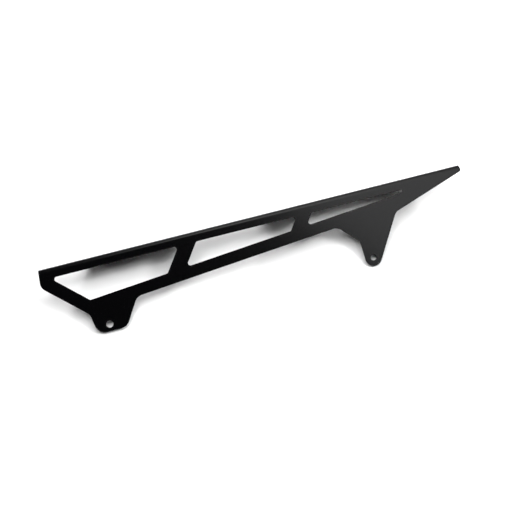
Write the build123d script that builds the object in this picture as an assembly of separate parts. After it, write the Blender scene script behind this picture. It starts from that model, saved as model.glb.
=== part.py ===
"""Motorcycle chain guard: one sheet of aluminium, cut to outline and folded once.

The sheet is a long side plate with a flange folded back along its straight top edge.
It lies as it comes to rest: on the free edge of the flange and on the end of a tab.
"""
from build123d import *
from math import atan2, cos, degrees, radians, sin, tan
import os

# Driving dimensions, in millimetres and degrees.
# In the side view, lengths run from the front corner to the rear, and depths run down from the fold.

# Sheet and fold
sheet_thickness = 2.5
bend_inner_radius = 2.0

# Outline of the side plate; the lower edge's depth is taken at the front hole,
# and the rear slant starts its setback ahead of the rear hole
overall_length = 499.5
front_edge_depth = 20.5
front_edge_lean = 4.0
front_slant_angle = 42.8
lower_edge_depth = 59.1
lower_edge_taper = 4.7
rear_slant_setback = 32.0
rear_slant_angle = 45.9
tail_root_depth = 35.4
tail_tip_depth = 7.4
tail_tip_lean = 10.0

# Tabs and their bolt holes, of which the front one lies a little nearer the fold;
# margin, lead and trail run from it to the front tab's lower edge and unrounded lower corners
front_hole_setback = 63.2
hole_spacing = 310.3
hole_depth = 80.0
front_hole_rise = 1.6
front_hole_diameter = 8.0
rear_hole_diameter = 6.4
front_tab_margin = 8.0
front_tab_lead = 14.9
front_tab_trail = 18.2
front_tab_front_angle = 80.2
rear_tab_end_radius = 9.7
rear_tab_front_angle = 87.3
tab_rear_angle = 58.3

# Rails around the windows and bars between them; a bar's place is its middle
# on the line along the windows' tops
top_rail_width = 12.1
lower_rail_width = 13.5
front_rail_width = 14.75
tail_rail_width = 17.2
bar_angle = 54.5
front_bar_place = 169.75
front_bar_width = 17.0
rear_bar_place = 307.9
rear_bar_width = 14.6
rear_window_end_height = 4.5

# Flange, its front step and its window; depths run from the fold to the free edge
flange_depth = 30.0
lip_depth = 7.0
flange_step_setback = 43.0
flange_rail_width = 8.0
flange_edge_width = 8.0
flange_window_place = 210.0
flange_window_length = 98.0

# Corner radii
outline_radius = 12.0
front_corner_radius = 10.0
slant_foot_radius = 6.0
tip_radius = 3.0
window_radius = 2.8
window_point_radius = 0.6
flange_corner_radius = 5.0

# Stock left around the sheet by the cutting shapes
stock_margin = 10.0

# Headings of level and upright lines
level = 0
upright = 90


def heading(angle):
    """Unit vector that points angle degrees below the direction of the fold."""
    return Vector(cos(radians(angle)), -sin(radians(angle)))


def meet(first, second):
    """Point where two lines of one view cross; a line is a point and a heading angle."""
    start, ahead = first[0], heading(first[1])
    across = heading(second[1] + upright)
    travel = (second[0] - start).dot(across) / ahead.dot(across)
    return start + ahead * travel


def beside(line, distance):
    """Line parallel to the given one, at a distance on its upper side."""
    return line[0] + heading(line[1] - upright) * distance, line[1]


def line_through(start, end):
    """Line that runs from one point to another."""
    return start, degrees(atan2(start.Y - end.Y, end.X - start.X))


def rounded_corners(corners):
    """Face from pairs of a corner and the radius that rounds it; radius 0 leaves it sharp."""
    points = [point for point, radius in corners]
    arcs = []
    starts = []
    ends = []
    for before, (corner, radius), after in zip(points[-1:] + points, corners, points[1:] + points):
        back = (before - corner).normalized()
        ahead = (after - corner).normalized()
        half_angle = radians(back.get_angle(ahead)) / 2
        tangent_run = radius / tan(half_angle)
        starts.append(corner + back * tangent_run)
        ends.append(corner + ahead * tangent_run)
        if radius:
            middle = corner + (back + ahead).normalized() * (radius / sin(half_angle) - radius)
            arcs.append(ThreePointArc(starts[-1], middle, ends[-1]))
    sides = [Line(end, start) for end, start in zip(ends, starts[1:] + starts)]
    return make_face(arcs + sides)


def four_sided(ceiling, front_side, floor, rear_side, rear_radius):
    """Window between four lines; the upper rear corner has a radius of its own."""
    corners = [
        (meet(ceiling, front_side), window_radius),
        (meet(front_side, floor), window_radius),
        (meet(floor, rear_side), window_radius),
        (meet(rear_side, ceiling), rear_radius),
    ]
    return rounded_corners(corners)


# Places that the outline, the windows and the holes share
front_hole = Vector(front_hole_setback, front_hole_rise - hole_depth)
rear_hole = Vector(front_hole_setback + hole_spacing, -hole_depth)
front_tab_reach = hole_depth - front_hole_rise + front_tab_margin
rear_tab_reach = hole_depth + rear_tab_end_radius
tab_reach = max(front_tab_reach, rear_tab_reach)

# Straight edges of the outline
front_edge = (Vector(0, 0), upright + front_edge_lean)
front_low_corner = meet(front_edge, (Vector(0, -front_edge_depth), level))
front_slant = (front_low_corner, front_slant_angle)
front_tab_foot = (Vector(0, -front_tab_reach), level)
front_tab_front = (Vector(front_hole.X - front_tab_lead, -front_tab_reach), front_tab_front_angle)
front_tab_rear = (Vector(front_hole.X + front_tab_trail, -front_tab_reach), -tab_rear_angle)
lower_edge = (Vector(front_hole.X, -lower_edge_depth), -lower_edge_taper)
rear_slant_top = meet(lower_edge, (Vector(rear_hole.X - rear_slant_setback, 0), upright))
rear_slant = (rear_slant_top, rear_slant_angle)
rear_tab_front = beside((rear_hole, rear_tab_front_angle), -rear_tab_end_radius)
rear_tab_rear = beside((rear_hole, -tab_rear_angle), -rear_tab_end_radius)
tail_root = meet(rear_tab_rear, (Vector(0, -tail_root_depth), level))
tail_tip = Vector(overall_length, -tail_tip_depth)
tail_edge = line_through(tail_root, tail_tip)
tip_edge = (tail_tip, upright - tail_tip_lean)
stock_top = (Vector(0, stock_margin), level)


def side_outline():
    """Outline of the side plate; its top runs past the fold, which keeps the bend whole."""
    corners = [
        (meet(stock_top, front_edge), 0),
        (front_low_corner, front_corner_radius),
        (meet(front_slant, front_tab_front), slant_foot_radius),
        (meet(front_tab_front, front_tab_foot), outline_radius),
        (meet(front_tab_foot, front_tab_rear), outline_radius),
        (meet(front_tab_rear, lower_edge), outline_radius),
        (rear_slant_top, outline_radius),
        (meet(rear_slant, rear_tab_front), outline_radius),
        (meet(rear_tab_front, rear_tab_rear), rear_tab_end_radius),
        (tail_root, outline_radius),
        (tail_tip, tip_radius),
        (meet(tip_edge, stock_top), 0),
    ]
    return rounded_corners(corners)


def side_windows():
    """The three windows of the plate, bounded by the rails and by the two slanted bars."""
    ceiling = (Vector(0, -top_rail_width), level)
    floor = beside(lower_edge, lower_rail_width)

    def bar_sides(place, width):
        half_width = width / sin(radians(bar_angle)) / 2
        return [(Vector(place + side * half_width, -top_rail_width), -bar_angle) for side in (-1, 1)]

    front_bar = bar_sides(front_bar_place, front_bar_width)
    rear_bar = bar_sides(rear_bar_place, rear_bar_width)
    front_rail = beside(front_slant, front_rail_width)
    tail_rail = beside(tail_edge, tail_rail_width)
    rear_floor_end = meet(tail_rail, (Vector(0, -top_rail_width - rear_window_end_height), level))
    rear_floor = line_through(meet(rear_bar[1], floor), rear_floor_end)
    return [
        four_sided(ceiling, front_rail, floor, front_bar[0], window_radius),
        four_sided(ceiling, front_bar[1], floor, rear_bar[0], window_radius),
        four_sided(ceiling, rear_bar[1], rear_floor, tail_rail, window_point_radius),
    ]


def flange_outline():
    """Outline of the flange: a narrow lip, a slanted step to full depth, and a tail like the plate's."""
    free_edge = (Vector(0, -flange_depth), level)
    step = (Vector(flange_step_setback, -lip_depth), bar_angle)
    tail = (Vector(overall_length, -lip_depth), tail_edge[1])
    stock_end = (Vector(overall_length + stock_margin, 0), upright)
    corners = [
        (Vector(-stock_margin, stock_margin), 0),
        (Vector(-stock_margin, -lip_depth), 0),
        (Vector(flange_step_setback, -lip_depth), flange_corner_radius),
        (meet(step, free_edge), flange_corner_radius),
        (meet(free_edge, tail), outline_radius),
        (meet(tail, stock_end), 0),
        (meet(stock_end, stock_top), 0),
    ]
    return rounded_corners(corners)


def flange_window():
    """The flange's window; its ends continue the slant of the bars across the fold."""
    middle_depth = (flange_rail_width + flange_depth - flange_edge_width) / 2
    ceiling = (Vector(0, -flange_rail_width), level)
    floor = (Vector(0, flange_edge_width - flange_depth), level)
    front_side, rear_side = [
        (Vector(flange_window_place + side * flange_window_length / 2, -middle_depth), bar_angle)
        for side in (-1, 1)
    ]
    return four_sided(ceiling, front_side, floor, rear_side, window_radius)


def folded_strip():
    """Straight L-shaped strip, larger than the guard on every side, with a rounded bend."""
    plate_reach = tab_reach + stock_margin
    flange_reach = flange_depth + stock_margin
    section = [
        (Vector(-plate_reach, 0), 0),
        (Vector(0, 0), bend_inner_radius + sheet_thickness),
        (Vector(0, -flange_reach), 0),
        (Vector(-sheet_thickness, -flange_reach), 0),
        (Vector(-sheet_thickness, -sheet_thickness), bend_inner_radius),
        (Vector(-plate_reach, -sheet_thickness), 0),
    ]
    length = overall_length + 2 * stock_margin
    return Pos(X=-stock_margin) * extrude(Plane.YZ * rounded_corners(section), amount=length)


def through_fold(face):
    """Cutting shape that carries a face of the side view or of the flange through the whole fold."""
    return extrude(face, amount=tab_reach + flange_depth, both=True)


def chain_guard():
    """The finished sheet in its side view: outer face up, fold along the X axis."""
    guard = folded_strip() & through_fold(side_outline())
    guard &= through_fold(Plane.XZ * flange_outline())
    guard -= through_fold(Plane.XZ * flange_window())
    for window in side_windows():
        guard -= through_fold(window)
    for hole, diameter in ((front_hole, front_hole_diameter), (rear_hole, rear_hole_diameter)):
        guard -= through_fold(Pos(hole.X, hole.Y) * Circle(diameter / 2))
    return guard


def laid_down(guard):
    """The guard at rest: flange edge and tab end on the ground, origin under its middle."""
    rest_angle = degrees(atan2(flange_depth - sheet_thickness, tab_reach - sheet_thickness))
    resting = Rot(X=rest_angle) * guard
    box = resting.bounding_box()
    return Pos(-box.center().X, -box.center().Y, -box.min.Z) * resting


os.makedirs("parts", exist_ok=True)
export_step(laid_down(chain_guard()), "parts/chain_guard.step")
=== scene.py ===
# %% [markdown]
# Motorcycle chain guard in satin black powder coat.
# The real guard is one aluminium sheet: a laser cuts the flat blank, a press brake folds its top strip
# back, and powder is baked onto it. This lesson works in the same order. It draws the blank flat,
# rounds its cut edges, folds it with a formula, coats it, and then lights and photographs it on a pale
# floor.

import bpy
import numpy as np
from mathutils import Matrix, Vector
from mathutils.geometry import delaunay_2d_cdt


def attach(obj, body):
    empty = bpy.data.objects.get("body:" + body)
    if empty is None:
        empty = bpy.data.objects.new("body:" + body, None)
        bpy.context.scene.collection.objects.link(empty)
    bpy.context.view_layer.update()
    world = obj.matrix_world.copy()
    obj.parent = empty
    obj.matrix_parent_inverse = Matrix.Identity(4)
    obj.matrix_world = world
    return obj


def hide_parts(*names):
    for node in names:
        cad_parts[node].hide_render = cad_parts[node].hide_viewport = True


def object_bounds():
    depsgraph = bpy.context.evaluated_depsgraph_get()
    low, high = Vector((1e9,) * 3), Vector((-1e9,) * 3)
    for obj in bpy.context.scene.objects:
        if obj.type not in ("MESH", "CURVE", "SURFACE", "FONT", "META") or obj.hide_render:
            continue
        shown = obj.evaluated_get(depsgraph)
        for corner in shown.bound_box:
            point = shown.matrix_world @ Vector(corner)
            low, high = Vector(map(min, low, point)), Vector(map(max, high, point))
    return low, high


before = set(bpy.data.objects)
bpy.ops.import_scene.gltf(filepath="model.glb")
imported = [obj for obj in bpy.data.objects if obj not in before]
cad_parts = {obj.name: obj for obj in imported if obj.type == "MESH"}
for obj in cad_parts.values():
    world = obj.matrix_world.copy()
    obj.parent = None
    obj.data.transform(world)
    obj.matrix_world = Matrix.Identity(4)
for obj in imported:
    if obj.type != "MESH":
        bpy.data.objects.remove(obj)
cad_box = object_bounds()
print("CAD nodes:", sorted(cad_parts))

# %% [markdown]
# The drawing of the blank.
# A sheet part is drawn with straight lines and rounded corners. Typing every corner as a number would
# hide how the shape is meant, so the edges are kept as lines, each a point and a heading, and the
# corners are found where two lines cross. Lengths run from the front of the guard to its tail, depths
# run down from the fold. All drawing sizes are in millimetres and degrees, as on the CAD drawing.

# %% Lines and where they cross
LEVEL = 0.0
UPRIGHT = 90.0


def heading(angle):
    """Unit vector: the angle's cosine along the fold, minus its sine across it; angles count down."""
    return np.array([np.cos(np.radians(angle)), -np.sin(np.radians(angle))])


def on_plate(length, depth):
    """Place in the drawing of a point of the plate: its length along the fold, and its depth downwards."""
    return np.array([length, -depth])


def meet(first, second):
    """Crossing of two lines: the travel along each that brings both to one place, from a 2 by 2 system."""
    both = np.column_stack([heading(first[1]), -heading(second[1])])
    travel = np.linalg.solve(both, np.subtract(second[0], first[0]))
    return first[0] + heading(first[1]) * travel[0]


def beside(line, distance):
    """Parallel line: the same heading, its point moved square to it towards the upper side."""
    return line[0] + heading(line[1] - UPRIGHT) * distance, line[1]


def line_through(start, end):
    """Line from one point to another: its heading is the arctangent of the fall over the run."""
    run, rise = np.subtract(end, start)
    return np.array(start), np.degrees(np.arctan2(-rise, run))


print("an upright line heads towards", np.round(heading(UPRIGHT), 3))

# %% [markdown]
# The straight edges of the plate.
# The front end is chamfered down to the front tab, the lower edge climbs slowly to the rear, the rear
# tab hangs from a notch, and the tail runs out to a point. Both tabs are drawn around their bolt holes.

# %% Sizes of the plate
overall_length = 499.5
front_edge_depth = 20.5
front_edge_lean = 4.0
front_slant_angle = 42.8
lower_edge_depth = 59.1
lower_edge_taper = 4.7
notch_setback = 32.0
notch_angle = 45.9
tail_root_depth = 35.4
tail_tip_depth = 7.4
tail_tip_lean = 10.0
front_hole_setback = 63.2
front_hole_depth = 78.4
rear_hole_setback = 373.5
rear_hole_depth = 80.0
front_tab_reach = 86.4
front_tab_lead = 14.9
front_tab_trail = 18.2
front_tab_front_angle = 80.2
rear_tab_end_radius = 9.7
rear_tab_front_angle = 87.3
tab_rear_angle = 58.3
print("bolt holes are", round(rear_hole_setback - front_hole_setback, 1), "mm apart along the fold")

# %% Edges of the plate
front_hole = on_plate(front_hole_setback, front_hole_depth)
rear_hole = on_plate(rear_hole_setback, rear_hole_depth)
front_edge = (on_plate(0.0, 0.0), UPRIGHT + front_edge_lean)
front_low_corner = meet(front_edge, (on_plate(0.0, front_edge_depth), LEVEL))
front_slant = (front_low_corner, front_slant_angle)
front_tab_foot = (on_plate(0.0, front_tab_reach), LEVEL)
front_tab_front = (on_plate(front_hole[0] - front_tab_lead, front_tab_reach), front_tab_front_angle)
front_tab_rear = (on_plate(front_hole[0] + front_tab_trail, front_tab_reach), -tab_rear_angle)
lower_edge = (on_plate(front_hole[0], lower_edge_depth), -lower_edge_taper)
notch = meet(lower_edge, (on_plate(rear_hole[0] - notch_setback, 0.0), UPRIGHT))
notch_slant = (notch, notch_angle)
rear_tab_front = beside((rear_hole, rear_tab_front_angle), -rear_tab_end_radius)
rear_tab_rear = beside((rear_hole, -tab_rear_angle), -rear_tab_end_radius)
tail_root = meet(rear_tab_rear, (on_plate(0.0, tail_root_depth), LEVEL))
tail_tip = on_plate(overall_length, tail_tip_depth)
tail_edge = line_through(tail_root, tail_tip)
print("tail edge rises by", round(-float(tail_edge[1]), 1), "degrees")

# %% [markdown]
# The flange, drawn flat.
# In the flat blank the flange lies above the fold. The bend uses up some sheet: a quarter turn of the
# outer radius is shorter than the two straight runs to the sharp corner that it replaces, so every
# depth on the flange is drawn that much nearer the fold. The flange is a narrow lip at the front, steps
# down to its full depth along the slant of the window bars, and runs out at the tail like the plate.

# %% Edges of the flange
sheet_thickness = 2.5
# outer radius of the bend: the inner one is less by the sheet's thickness
bend_radius = 4.5
flange_depth = 30.0
lip_depth = 7.0
step_setback = 43.0
bar_angle = 54.5
bend_run = bend_radius * np.pi / 2
bend_end = bend_run - bend_radius


def on_flange(length, depth):
    """Place on the flat flange: its depth less two bend radii, plus the length of the bend's arc."""
    return np.array([length, depth - bend_radius + bend_end])


front_fold = on_plate(0.0, 0.0)
lip_front = on_flange(0.0, lip_depth)
step_top = on_flange(step_setback, lip_depth)
free_edge = (on_flange(0.0, flange_depth), LEVEL)
flange_step = (step_top, -bar_angle)
flange_tail = (on_flange(overall_length, lip_depth), -tail_edge[1])
tip_edge = (tail_tip, UPRIGHT - tail_tip_lean)
tail_fold = meet(tip_edge, (front_fold, LEVEL))
tail_tip_top = meet(flange_tail, (tail_fold, UPRIGHT))
print("flange drawn up to", round(float(free_edge[0][1]), 2), "mm above the fold line")

# %% [markdown]
# Rounded loops.
# Each closed edge of the blank becomes a loop of points with the direction that points out of the
# metal. An arc at every corner carries the points, and the straight sides need none. The metal always
# lies to the left of the direction of travel, so one formula serves the outline and the cut-outs alike.

# %% Rounded loops
ARC_POINTS = 15
CIRCLE_POINTS = 72


def unit(vectors):
    """Each vector divided by its own length."""
    return vectors / np.linalg.norm(vectors, axis=-1, keepdims=True)


def rounded_loop(corners):
    """Arc points at every corner and their outward directions.

    The arc's centre lies on the corner's bisector, at the radius over the sine of the half angle.
    Its points turn evenly from one side's tangent point to the other's.
    """
    points = np.array([point for point, radius in corners])
    radii = np.array([radius for point, radius in corners])
    back = unit(np.roll(points, 1, axis=0) - points)
    ahead = unit(np.roll(points, -1, axis=0) - points)
    half = np.arccos(np.sum(back * ahead, axis=1)) / 2
    centres = points + unit(back + ahead) * (radii / np.sin(half))[:, None]
    first = points + back * (radii / np.tan(half))[:, None] - centres
    turn = np.sign(ahead[:, 0] * -back[:, 1] + ahead[:, 1] * back[:, 0]) * (2 * half - np.pi)
    angles = np.arctan2(first[:, 1], first[:, 0])[:, None] + turn[:, None] * np.linspace(0, 1, ARC_POINTS)
    spokes = np.stack([np.cos(angles), np.sin(angles)], axis=-1)
    arcs = centres[:, None] + radii[:, None, None] * spokes
    outward = spokes * np.sign(turn)[:, None, None]
    return arcs.reshape(-1, 2), outward.reshape(-1, 2)


def round_hole(centre, radius):
    """Circle run clockwise, so that the metal is on its left; outward points to the middle of the hole."""
    angles = np.linspace(0, -2 * np.pi, CIRCLE_POINTS, endpoint=False)
    spokes = np.column_stack([np.cos(angles), np.sin(angles)])
    return centre + radius * spokes, -spokes


print("points on each rounded corner:", ARC_POINTS, "and round each hole:", CIRCLE_POINTS)

# %% [markdown]
# The outline of the whole blank.
# Laser-cut sheet has no sharp outer corners, because they would cut a hand and shed the coating. The
# corners on the fold line are almost straight, so their large radii only blend the plate's ends into
# the flange's ends.

# %% Outline
outline_radius = 12.0
front_corner_radius = 10.0
slant_foot_radius = 6.0
tip_radius = 3.0
flange_corner_radius = 5.0
lip_corner_radius = 0.8
front_blend_radius = 60.0
tail_blend_radius = 25.0
outline = rounded_loop([
    (lip_front, lip_corner_radius),
    (front_fold, front_blend_radius),
    (front_low_corner, front_corner_radius),
    (meet(front_slant, front_tab_front), slant_foot_radius),
    (meet(front_tab_front, front_tab_foot), outline_radius),
    (meet(front_tab_foot, front_tab_rear), outline_radius),
    (meet(front_tab_rear, lower_edge), outline_radius),
    (notch, outline_radius),
    (meet(notch_slant, rear_tab_front), outline_radius),
    (meet(rear_tab_front, rear_tab_rear), rear_tab_end_radius),
    (tail_root, outline_radius),
    (tail_tip, tip_radius),
    (tail_fold, tail_blend_radius),
    (tail_tip_top, lip_corner_radius),
    (meet(flange_tail, free_edge), outline_radius),
    (meet(free_edge, flange_step), flange_corner_radius),
    (step_top, flange_corner_radius),
])
print("outline:", len(outline[0]), "points")

# %% [markdown]
# The windows and the bolt holes.
# Two slanted bars split the plate's opening into three windows, and the last one runs out to a thin
# point under the tail. The flange has one window, whose ends carry the bars' slant across the fold. A
# window lists its corners clockwise, which again keeps the metal on the left.

# %% Lines around the windows
top_rail_width = 12.1
lower_rail_width = 13.5
front_rail_width = 14.75
tail_rail_width = 17.2
front_bar_place = 169.75
front_bar_width = 17.0
rear_bar_place = 307.9
rear_bar_width = 14.6
rear_window_end_height = 4.5


def bar_sides(place, width):
    """The two sides of a bar: lines on its slant, half its level width to either side of its middle."""
    half_width = width / np.sin(np.radians(bar_angle)) / 2
    return [(on_plate(place + side * half_width, top_rail_width), -bar_angle) for side in (-1, 1)]


ceiling = (on_plate(0.0, top_rail_width), LEVEL)
window_floor = beside(lower_edge, lower_rail_width)
front_rail = beside(front_slant, front_rail_width)
tail_rail = beside(tail_edge, tail_rail_width)
front_bar = bar_sides(front_bar_place, front_bar_width)
rear_bar = bar_sides(rear_bar_place, rear_bar_width)
rear_floor_end = meet(tail_rail, (on_plate(0.0, top_rail_width + rear_window_end_height), LEVEL))
rear_floor = line_through(meet(rear_bar[1], window_floor), rear_floor_end)
print("last window's floor rises by", round(-float(rear_floor[1]), 1), "degrees")

# %% Windows and holes
window_radius = 2.8
window_point_radius = 0.6
flange_rail_width = 8.0
flange_window_front = 161.0
flange_window_rear = 259.0
front_hole_radius = 4.0
rear_hole_radius = 3.2
flange_middle = flange_depth / 2


def window(upper, front, lower, rear, point_radius=window_radius):
    """Window between four lines, run clockwise: upper front, upper rear, lower rear, lower front."""
    return rounded_loop([
        (meet(upper, front), window_radius),
        (meet(upper, rear), point_radius),
        (meet(lower, rear), window_radius),
        (meet(lower, front), window_radius),
    ])


flange_far_side = (on_flange(0.0, flange_depth - flange_rail_width), LEVEL)
flange_near_side = (on_flange(0.0, flange_rail_width), LEVEL)
flange_front_side = (on_flange(flange_window_front, flange_middle), -bar_angle)
flange_rear_side = (on_flange(flange_window_rear, flange_middle), -bar_angle)
cut_outs = [
    window(ceiling, front_rail, window_floor, front_bar[0]),
    window(ceiling, front_bar[1], window_floor, rear_bar[0]),
    window(ceiling, rear_bar[1], rear_floor, tail_rail, window_point_radius),
    window(flange_far_side, flange_front_side, flange_near_side, flange_rear_side),
    round_hole(front_hole, front_hole_radius),
    round_hole(rear_hole, rear_hole_radius),
]
print("cut-outs:", len(cut_outs))

# %% [markdown]
# Rows across the bend.
# A flat face needs no points inside it, but the bend is curved. It is cut into a dozen even steps, and
# the two ends of the blank get a point at every border of a step. Each pair of points later makes one
# straight row of the bend, parallel to the fold, exactly as a cylinder is built from straight lines.

# %% Points where the ends cross the bend
BEND_STEPS = 12
bend_levels = np.linspace(-bend_radius, bend_end, BEND_STEPS + 1)


def with_levels(loop, levels):
    """Loop with a point added wherever one of its sides crosses a level: share = (level - start) / rise."""
    points, outward = loop
    following = np.roll(points, -1, axis=0)
    rise = following[:, 1] - points[:, 1]
    rise = np.where(rise == 0, np.inf, rise)
    share = (levels[None, :] - points[:, 1:]) / rise[:, None]
    side, level = np.nonzero((share > 0) & (share < 1))
    place = np.sort(np.concatenate([np.arange(len(points)), side + share[side, level]]))
    start = place.astype(int)
    part = (place - start)[:, None]
    added = points[start] * (1 - part) + following[start] * part
    return added, outward[start], part[:, 0] > 0


outline_points, outline_outward, on_bend = with_levels(outline, bend_levels)
bend_ends = np.flatnonzero(on_bend)
row_order = np.argsort(outline_points[bend_ends, 1])
bend_ends = bend_ends[row_order]
at_tail = outline_points[bend_ends, 0] > overall_length / 2
bend_rows = np.column_stack([bend_ends[~at_tail], bend_ends[at_tail]])
print("bend rows:", len(bend_rows))

# %% [markdown]
# The rounded cut edge.
# A laser leaves a square edge. It is broken before coating, and the powder flows round it, so the
# finished edge is a small quarter round above and below a narrow flat. That profile is carried along
# every loop: the grid of loop points by profile points is the whole cut edge, and its two borders are
# where the flat faces begin.

# %% Edge profile
edge_radius = 0.45
QUARTER_POINTS = 5
quarter = np.linspace(np.pi / 2, 0, QUARTER_POINTS)
profile_lean = np.concatenate([quarter, -quarter[::-1]])
profile_out = edge_radius * (np.cos(profile_lean) - 1)
upper_rise = edge_radius * (np.sin(quarter) - 1)
profile_rise = np.concatenate([upper_rise, -sheet_thickness - upper_rise[::-1]])

loops = [(outline_points, outline_outward)] + cut_outs
loop_points = np.concatenate([points for points, outward in loops])
loop_outward = np.concatenate([outward for points, outward in loops])
loop_sizes = [len(points) for points, outward in loops]
edge_flat = loop_points[:, None] + loop_outward[:, None] * profile_out[None, :, None]
edge_rise = np.broadcast_to(profile_rise, edge_flat.shape[:2])
print("edge grid:", edge_flat.shape[:2])

# %% [markdown]
# The fold.
# Folding is a map from the flat sheet to space. Below the bend a point stays where it is. Through the
# bend the distance along the sheet becomes an angle, and the height over the outer face becomes a
# change of radius. Past the bend the remaining distance runs straight down. The same angle turns the
# directions, so the normals of every point are exact and no smoothing has to guess them.

# %% Fold map
def bend_turn(flat):
    """Angle turned at each point: distance into the bend over its radius, at most a quarter turn."""
    return np.clip((flat[..., 1] + bend_radius) / bend_radius, 0, np.pi / 2)


def folded(flat, rise):
    """Places in space: plate up to the bend, then radius times sine and cosine, then straight down."""
    turn = bend_turn(flat)
    radius = bend_radius + rise
    past = np.clip(flat[..., 1] - bend_end, 0, None)
    across = np.minimum(flat[..., 1], -bend_radius) + radius * np.sin(turn)
    up = radius * np.cos(turn) - bend_radius - past
    return np.stack([flat[..., 0], across, up], axis=-1)


def folded_directions(flat, outward, lean):
    """Normals in space: outward times the lean's cosine and face normal times its sine, both turned."""
    turn = bend_turn(flat)
    along = outward[..., 0] * np.cos(lean)
    across = outward[..., 1] * np.cos(lean)
    off = np.sin(lean)
    y = across * np.cos(turn) + off * np.sin(turn)
    z = off * np.cos(turn) - across * np.sin(turn)
    return np.stack([along, y, z], axis=-1)


edge_space = folded(edge_flat, edge_rise)
edge_normals = folded_directions(edge_flat, loop_outward[:, None], profile_lean[None, :])
print("folded size:", np.round(np.ptp(edge_space.reshape(-1, 3), axis=0), 1), "mm")

# %% [markdown]
# At rest on the floor.
# Laid down, the guard stands on the free edge of its flange and on the rear tab, which tilts the plate.
# The tilt follows from those two depths. The box of the tilted sheet is then centred on the CAD's box.

# %% Rest position
MILLIMETRE = 0.001
rear_tab_reach = rear_tab_end_radius - rear_hole[1]
rest_tilt = np.arctan2(flange_depth - sheet_thickness, rear_tab_reach - sheet_thickness)
tilt = np.array([
    [1, 0, 0],
    [0, np.cos(rest_tilt), -np.sin(rest_tilt)],
    [0, np.sin(rest_tilt), np.cos(rest_tilt)],
])
cad_middle = (np.array(cad_box[0]) + np.array(cad_box[1])) / 2
tilted = edge_space @ tilt.T
tilted_low = tilted.reshape(-1, 3).min(axis=0)
tilted_high = tilted.reshape(-1, 3).max(axis=0)
sheet_places = (tilted - (tilted_low + tilted_high) / 2) * MILLIMETRE + cad_middle
sheet_normals = edge_normals @ tilt.T
print("rest tilt:", round(float(np.degrees(rest_tilt)), 2), "degrees")

# %% [markdown]
# The flat faces.
# The two faces of the sheet fill the space between the loops. A constrained triangulation of the flat
# drawing does this with no extra points, keeps every loop and bend row as an edge, and a crossing count
# from each triangle's middle tells metal from opening. Both faces use the same triangles, the back one
# turned over.

# %% Triangles of the faces
ALL_TRIANGLES = 0
SAME_POINT = 1e-6
skin_points = edge_flat[:, 0]
loop_starts = np.cumsum([0] + loop_sizes[:-1])
loop_edges = np.concatenate([
    start + np.column_stack([np.arange(size), np.roll(np.arange(size), -1)])
    for start, size in zip(loop_starts, loop_sizes)
])
all_edges = np.concatenate([loop_edges, bend_rows])
triangulated = delaunay_2d_cdt(skin_points.tolist(), all_edges.tolist(), [], ALL_TRIANGLES, SAME_POINT)
triangles = np.array(triangulated[2])


def inside_metal(places):
    """True where a level ray from the place crosses the loops an odd number of times."""
    start = skin_points[loop_edges[:, 0]]
    end = skin_points[loop_edges[:, 1]]
    height = places[:, 1:]
    straddles = (start[:, 1] > height) != (end[:, 1] > height)
    rise = np.where(end[:, 1] == start[:, 1], np.inf, end[:, 1] - start[:, 1])
    crossing = start[:, 0] + (height - start[:, 1]) / rise * (end[:, 0] - start[:, 0])
    return np.sum(straddles & (crossing > places[:, :1]), axis=1) % 2 == 1


triangles = triangles[inside_metal(skin_points[triangles].mean(axis=1))]
corner_a, corner_b, corner_c = (skin_points[triangles[:, corner]] for corner in range(3))
side_b = corner_b - corner_a
side_c = corner_c - corner_a
clockwise = side_b[:, 0] * side_c[:, 1] - side_b[:, 1] * side_c[:, 0] < 0
triangles[clockwise] = triangles[clockwise][:, ::-1]
print("points kept:", len(triangulated[0]) == len(skin_points), "triangles per face:", len(triangles))

# %% [markdown]
# One closed mesh.
# The edge grid holds every vertex. Its first column borders the outer face and its last column the back
# face, so the faces share their corners with the edge and the sheet is closed all round.

# %% Mesh of the sheet
columns = len(profile_lean)
point_count = len(skin_points)
grid = np.arange(point_count * columns).reshape(point_count, columns)
near = grid[loop_edges[:, 0]]
far = grid[loop_edges[:, 1]]
edge_quads = np.stack([near[:, :-1], near[:, 1:], far[:, 1:], far[:, :-1]], axis=-1).reshape(-1, 4)
outer_face = grid[triangles, 0]
back_face = grid[triangles, -1][:, ::-1]
faces = edge_quads.tolist() + outer_face.tolist() + back_face.tolist()

sheet_mesh = bpy.data.meshes.new("guard_sheet")
sheet_mesh.from_pydata(sheet_places.reshape(-1, 3).tolist(), [], faces)
sheet_mesh.shade_smooth()
sheet_mesh.normals_split_custom_set_from_vertices(sheet_normals.reshape(-1, 3).tolist())
guard_sheet = bpy.data.objects.new("guard_sheet", sheet_mesh)
bpy.context.scene.collection.objects.link(guard_sheet)
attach(guard_sheet, "root")
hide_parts("chain_guard")
print("sheet:", len(sheet_mesh.vertices), "vertices,", len(sheet_mesh.polygons), "faces")

# %% [markdown]
# Colours and nodes.
# Colours are written as the sRGB hex values that a colour picker shows, and one function turns them
# into the linear values that shaders work with. One more function adds a node, sets its inputs and
# joins its links.

# %% Helpers for materials
SRGB_STRAIGHT_END = 0.04045
SRGB_STRAIGHT_SLOPE = 12.92
SRGB_OFFSET = 0.055
SRGB_POWER = 2.4
HEX_PLACES = (1, 3, 5)
HEX_DIGITS = 2
HEX_BASE = 16
HEX_FULL = 255
OPAQUE = 1.0


def linear_colour(hex_code):
    """Linear red, green, blue and alpha: the sRGB curve undone for each of the three hex pairs."""
    pairs = [hex_code[place:place + HEX_DIGITS] for place in HEX_PLACES]
    share = np.array([int(pair, HEX_BASE) for pair in pairs]) / HEX_FULL
    curved = ((share + SRGB_OFFSET) / (1 + SRGB_OFFSET)) ** SRGB_POWER
    linear = np.where(share <= SRGB_STRAIGHT_END, share / SRGB_STRAIGHT_SLOPE, curved)
    return (*linear.tolist(), OPAQUE)


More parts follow.
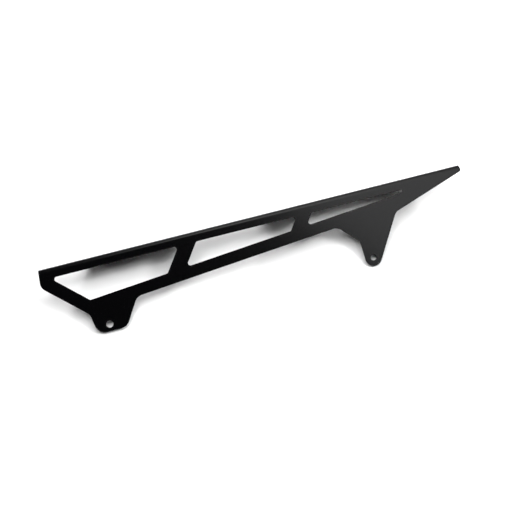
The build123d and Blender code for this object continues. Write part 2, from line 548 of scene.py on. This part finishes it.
def add_node(tree, kind, inputs=None, links=None):
    """New node of a kind, with the settings of its inputs and its links from other nodes' outputs."""
    node = tree.nodes.new(kind)
    for name, value in (inputs or {}).items():
        node.inputs[name].default_value = value
    for name, output in (links or {}).items():
        tree.links.new(output, node.inputs[name])
    return node


def new_material(name):
    """Empty node material and its tree."""
    material = bpy.data.materials.new(name)
    material.use_nodes = True
    material.node_tree.nodes.clear()
    return material, material.node_tree


print("hex grey #808080 is", round(linear_colour("#808080")[0], 3), "in linear light")

# %% [markdown]
# Satin black powder coat.
# Polyester powder melts into a closed plastic film about 0.1 mm thick. It is a dielectric, so it has no
# metal tint: a nearly black body colour under a soft white gloss. The film never levels fully. It keeps
# a faint orange peel a few millimetres wide and a fine grain from the powder, which spread the gloss
# unevenly. Real grain is finer still, but a smaller pattern would only turn to noise at the size of
# this picture.

# %% Texture of the powder coat
PEEL_MM = 2.4
PEEL_DETAIL = 2.0
GRAIN_MM = 0.5
GRAIN_DETAIL = 1.0
NOISE_ROUGHNESS = 0.5
powder_coat, tree = new_material("satin_polyester_powder_coat")
place = add_node(tree, "ShaderNodeTexCoord")
# orange peel: slow waves a few millimetres wide
peel = add_node(
    tree, "ShaderNodeTexNoise",
    inputs={
        "Scale": 1 / (PEEL_MM * MILLIMETRE),
        "Detail": PEEL_DETAIL,
        "Roughness": NOISE_ROUGHNESS,
    },
    links={"Vector": place.outputs["Object"]},
)
# grain: the half-melted powder itself
grain = add_node(
    tree, "ShaderNodeTexNoise",
    inputs={
        "Scale": 1 / (GRAIN_MM * MILLIMETRE),
        "Detail": GRAIN_DETAIL,
        "Roughness": NOISE_ROUGHNESS,
    },
    links={"Vector": place.outputs["Object"]},
)
print("orange peel", PEEL_MM, "mm wide, grain", GRAIN_MM, "mm wide")

# %% Shader of the powder coat
PEEL_LOW, PEEL_HIGH = 0.3, 0.7
GLOSS_SMOOTHEST, GLOSS_ROUGHEST = 0.17, 0.20
# heights of the two patterns at full strength; the bump nodes use only the share below
PEEL_HEIGHT_MM = 0.4
GRAIN_HEIGHT_MM = 0.1
BUMP_SHARE = 0.04
POLYESTER_IOR = 1.5
# the crests of the peel are a little duller than its hollows
gloss = add_node(
    tree, "ShaderNodeMapRange",
    inputs={
        "From Min": PEEL_LOW,
        "From Max": PEEL_HIGH,
        "To Min": GLOSS_SMOOTHEST,
        "To Max": GLOSS_ROUGHEST,
    },
    links={"Value": peel.outputs["Fac"]},
)
peel_bump = add_node(
    tree, "ShaderNodeBump",
    inputs={"Strength": BUMP_SHARE, "Distance": PEEL_HEIGHT_MM * MILLIMETRE},
    links={"Height": peel.outputs["Fac"]},
)
grain_bump = add_node(
    tree, "ShaderNodeBump",
    inputs={"Strength": BUMP_SHARE, "Distance": GRAIN_HEIGHT_MM * MILLIMETRE},
    links={"Height": grain.outputs["Fac"], "Normal": peel_bump.outputs["Normal"]},
)
# a body almost without light of its own, so that all that is seen is the mirrored studio
coat_shader = add_node(
    tree, "ShaderNodeBsdfPrincipled",
    inputs={"Base Color": linear_colour("#040405"), "IOR": POLYESTER_IOR},
    links={"Roughness": gloss.outputs["Result"], "Normal": grain_bump.outputs["Normal"]},
)
add_node(tree, "ShaderNodeOutputMaterial", links={"Surface": coat_shader.outputs["BSDF"]})
sheet_mesh.materials.append(powder_coat)
print("material:", powder_coat.name, "with roughness", GLOSS_SMOOTHEST, "to", GLOSS_ROUGHEST)

# %% [markdown]
# The floor.
# A product shot stands on a plain pale sweep. A round sheet of matte card is enough: it takes the soft
# shadows that show how far the plate lies above it, and beyond them it is so bright that it burns out
# to white. The surround is just as white, so the rim of the card does not show.

# %% Floor
FLOOR_RADIUS = 0.8
FLOOR_POINTS = 96
CARD_ROUGHNESS = 0.9
CARD_SHINE = 0.1
rim_angles = np.linspace(0, 2 * np.pi, FLOOR_POINTS, endpoint=False)
rim = FLOOR_RADIUS * np.column_stack([np.cos(rim_angles), np.sin(rim_angles), np.zeros(FLOOR_POINTS)])
floor_mesh = bpy.data.meshes.new("floor")
floor_mesh.from_pydata(rim.tolist(), [], [list(range(FLOOR_POINTS))])
floor = bpy.data.objects.new("floor", floor_mesh)
bpy.context.scene.collection.objects.link(floor)
white_card, tree = new_material("matte_white_card")
card_shader = add_node(
    tree, "ShaderNodeBsdfPrincipled",
    inputs={
        "Base Color": linear_colour("#f2f2f2"),
        "Roughness": CARD_ROUGHNESS,
        "Specular IOR Level": CARD_SHINE,
    },
)
add_node(tree, "ShaderNodeOutputMaterial", links={"Surface": card_shader.outputs["BSDF"]})
floor_mesh.materials.append(white_card)
print("floor:", 2 * FLOOR_RADIUS, "m wide")

# %% [markdown]
# The surround.
# A plate this smooth mirrors the room, and the photo shows it nearly black, so the room has to be dark
# overhead. Only the lower part, up to a little above the horizon, is pale, like the far walls of a white
# studio. It gives low views a light background and the upright faces something to mirror. A colour ramp
# on the height of the view ray draws it. It is kept from lighting the card, because the photo's deep
# shadows have no light from all around.

# %% Pale horizon, dark overhead
BAND_TOP = 0.24
BAND_END = 0.36
world = bpy.data.worlds.new("studio")
bpy.context.scene.world = world
world.use_nodes = True
tree = world.node_tree
tree.nodes.clear()
ray = add_node(tree, "ShaderNodeTexCoord")
ray_parts = add_node(tree, "ShaderNodeSeparateXYZ", links={"Vector": ray.outputs["Generated"]})
band = add_node(tree, "ShaderNodeValToRGB", links={"Fac": ray_parts.outputs["Z"]})
band.color_ramp.elements[0].position = BAND_TOP
band.color_ramp.elements[0].color = linear_colour("#ffffff")
band.color_ramp.elements[1].position = BAND_END
band.color_ramp.elements[1].color = linear_colour("#000000")
surround = add_node(tree, "ShaderNodeBackground", links={"Color": band.outputs["Color"]})
add_node(tree, "ShaderNodeOutputWorld", links={"Surface": surround.outputs["Background"]})
world.cycles_visibility.diffuse = False
print("surround: pale up to a ray height of", BAND_TOP, "and dark from", BAND_END)

# %% [markdown]
# The soft boxes.
# The shadows in the photo are soft and many, so many small soft boxes share the work: a key box on the
# right, several behind the guard, and low ones that reach under the plate. The plate would mirror each of
# them, and the photo shows only a few, so most are hidden from reflections. The sheen panel is weak and
# there to be mirrored: the plate shows its slanted edge half way along, so the front half stays black and
# the tail is grey. Two more sheen boxes light nothing and are only mirrored, in the bend and in views from
# other sides, where a black plate without any gloss would look like a hole in the picture.

# %% A soft box
BOX_DISTANCE = 1.6
MATRIX_FOOT = [0, 0, 0, 1]


def soft_box(name, azimuth, elevation, size, watts, roll=0.0):
    """Square area light on a sphere round the origin, facing it.

    Its place is the sphere's point at the azimuth, counted from +X towards +Y, and the elevation.
    Its sides are the level and the upright tangent there, mixed by the roll's cosine and sine.
    """
    around, above, rolled = np.radians([azimuth, elevation, roll])
    away = np.array([np.cos(above) * np.cos(around), np.cos(above) * np.sin(around), np.sin(above)])
    level = np.array([-np.sin(around), np.cos(around), 0.0])
    sideways = level * np.cos(rolled) + np.cross(away, level) * np.sin(rolled)
    light = bpy.data.lights.new(name, "AREA")
    light.shape = "SQUARE"
    light.size = size
    light.energy = watts
    lamp = bpy.data.objects.new(name, light)
    axes = np.column_stack([sideways, np.cross(away, sideways), away, away * BOX_DISTANCE])
    lamp.matrix_world = Matrix(np.vstack([axes, MATRIX_FOOT]).tolist())
    lamp.visible_camera = False
    bpy.context.scene.collection.objects.link(lamp)
    return lamp


print("soft boxes stand", BOX_DISTANCE, "m from the middle of the floor")

# %% All soft boxes
mirrored_boxes = [
    soft_box("key_right", azimuth=0, elevation=39, size=0.36, watts=13.4),
    soft_box("high_back", azimuth=60, elevation=74, size=0.85, watts=4.0),
    soft_box("sheen_panel", azimuth=-18.7, elevation=66.6, size=0.7, watts=1.86, roll=-28),
]
hidden_boxes = [
    soft_box("wide_right", azimuth=0, elevation=39, size=0.9, watts=2.2),
    soft_box("high_right", azimuth=20, elevation=60, size=0.5, watts=4.2),
    soft_box("right_back", azimuth=36, elevation=33, size=0.36, watts=1.8),
    soft_box("middle_back", azimuth=60, elevation=45, size=0.3, watts=5.6),
    soft_box("back", azimuth=86, elevation=51, size=0.36, watts=2.6),
    soft_box("back_left", azimuth=126, elevation=57, size=0.36, watts=1.9),
    soft_box("wide_back_left", azimuth=126, elevation=57, size=0.9, watts=9.3),
    soft_box("high_left", azimuth=150, elevation=70, size=0.3, watts=3.7),
    soft_box("low_right", azimuth=-20, elevation=9, size=0.3, watts=3.6),
    soft_box("low_right_back", azimuth=45, elevation=12, size=0.3, watts=6.2),
    soft_box("low_middle_back", azimuth=70, elevation=10, size=0.3, watts=44.2),
    soft_box("low_back", azimuth=95, elevation=15, size=0.3, watts=3.1),
    soft_box("low_back_left", azimuth=150, elevation=9, size=0.17, watts=4.9),
    soft_box("low_front_left", azimuth=-110, elevation=9, size=0.3, watts=5.4),
]
for lamp in hidden_boxes:
    lamp.visible_glossy = False
sheen_boxes = [
    soft_box("left_sheen", azimuth=156, elevation=46, size=0.9, watts=2.3),
    soft_box("back_sheen", azimuth=75, elevation=40, size=0.9, watts=1.2),
]
for lamp in sheen_boxes:
    lamp.visible_diffuse = False
print("soft boxes:", len(mirrored_boxes + sheen_boxes), "mirrored and", len(hidden_boxes), "hidden")
total_watts = sum(lamp.data.energy for lamp in mirrored_boxes + hidden_boxes + sheen_boxes)
print("power in all:", round(total_watts, 1), "watts")

# %% [markdown]
# The camera.
# The photo looks down on the plate over its lower edge, a little from the front, with a longish lens.
# The camera's place was found by laying the drawing over the photo: the straight edges fix the
# direction, and the guard's length the distance. One point of the drawing, the front end of the fold
# line, is kept both in the scene and as the camera sees it.

# %% Camera
VIEW_AZIMUTH = 15.1535
VIEW_ELEVATION = 70.2163
FRAME_PIXELS = 512
FOCAL_PIXELS = 1000
SENSOR_MM = 36.0
around, above = np.radians([VIEW_AZIMUTH, VIEW_ELEVATION])
to_camera = np.array([-np.sin(around) * np.cos(above), -np.cos(around) * np.cos(above), np.sin(above)])
to_right = np.array([np.cos(around), -np.sin(around), 0.0])
to_top = np.cross(to_camera, to_right)
# the kept point in the scene, and then along the camera's own axes, in metres
fold_front = np.array([-0.24838, 0.038262, 0.029363])
seen_right, seen_up, seen_away = -0.244361, -0.015917, 1.120923
camera_place = fold_front - to_right * seen_right - to_top * seen_up + to_camera * seen_away
camera_data = bpy.data.cameras.new("camera")
camera_data.sensor_width = SENSOR_MM
camera_data.lens = SENSOR_MM * FOCAL_PIXELS / FRAME_PIXELS
camera = bpy.data.objects.new("camera", camera_data)
camera_axes = np.column_stack([to_right, to_top, to_camera, camera_place])
camera.matrix_world = Matrix(np.vstack([camera_axes, MATRIX_FOOT]).tolist())
bpy.context.scene.collection.objects.link(camera)
bpy.context.scene.camera = camera
bpy.context.scene.view_settings.view_transform = "Standard"
print("camera at", np.round(camera_place, 3))

# %% [markdown]
# The visual sheet was drawn from the same sizes as the CAD solid, so the two boxes have to agree
# The CAD box is written down.

# %% The CAD box
print("CAD box:", [tuple(round(c, 4) for c in corner) for corner in cad_box])
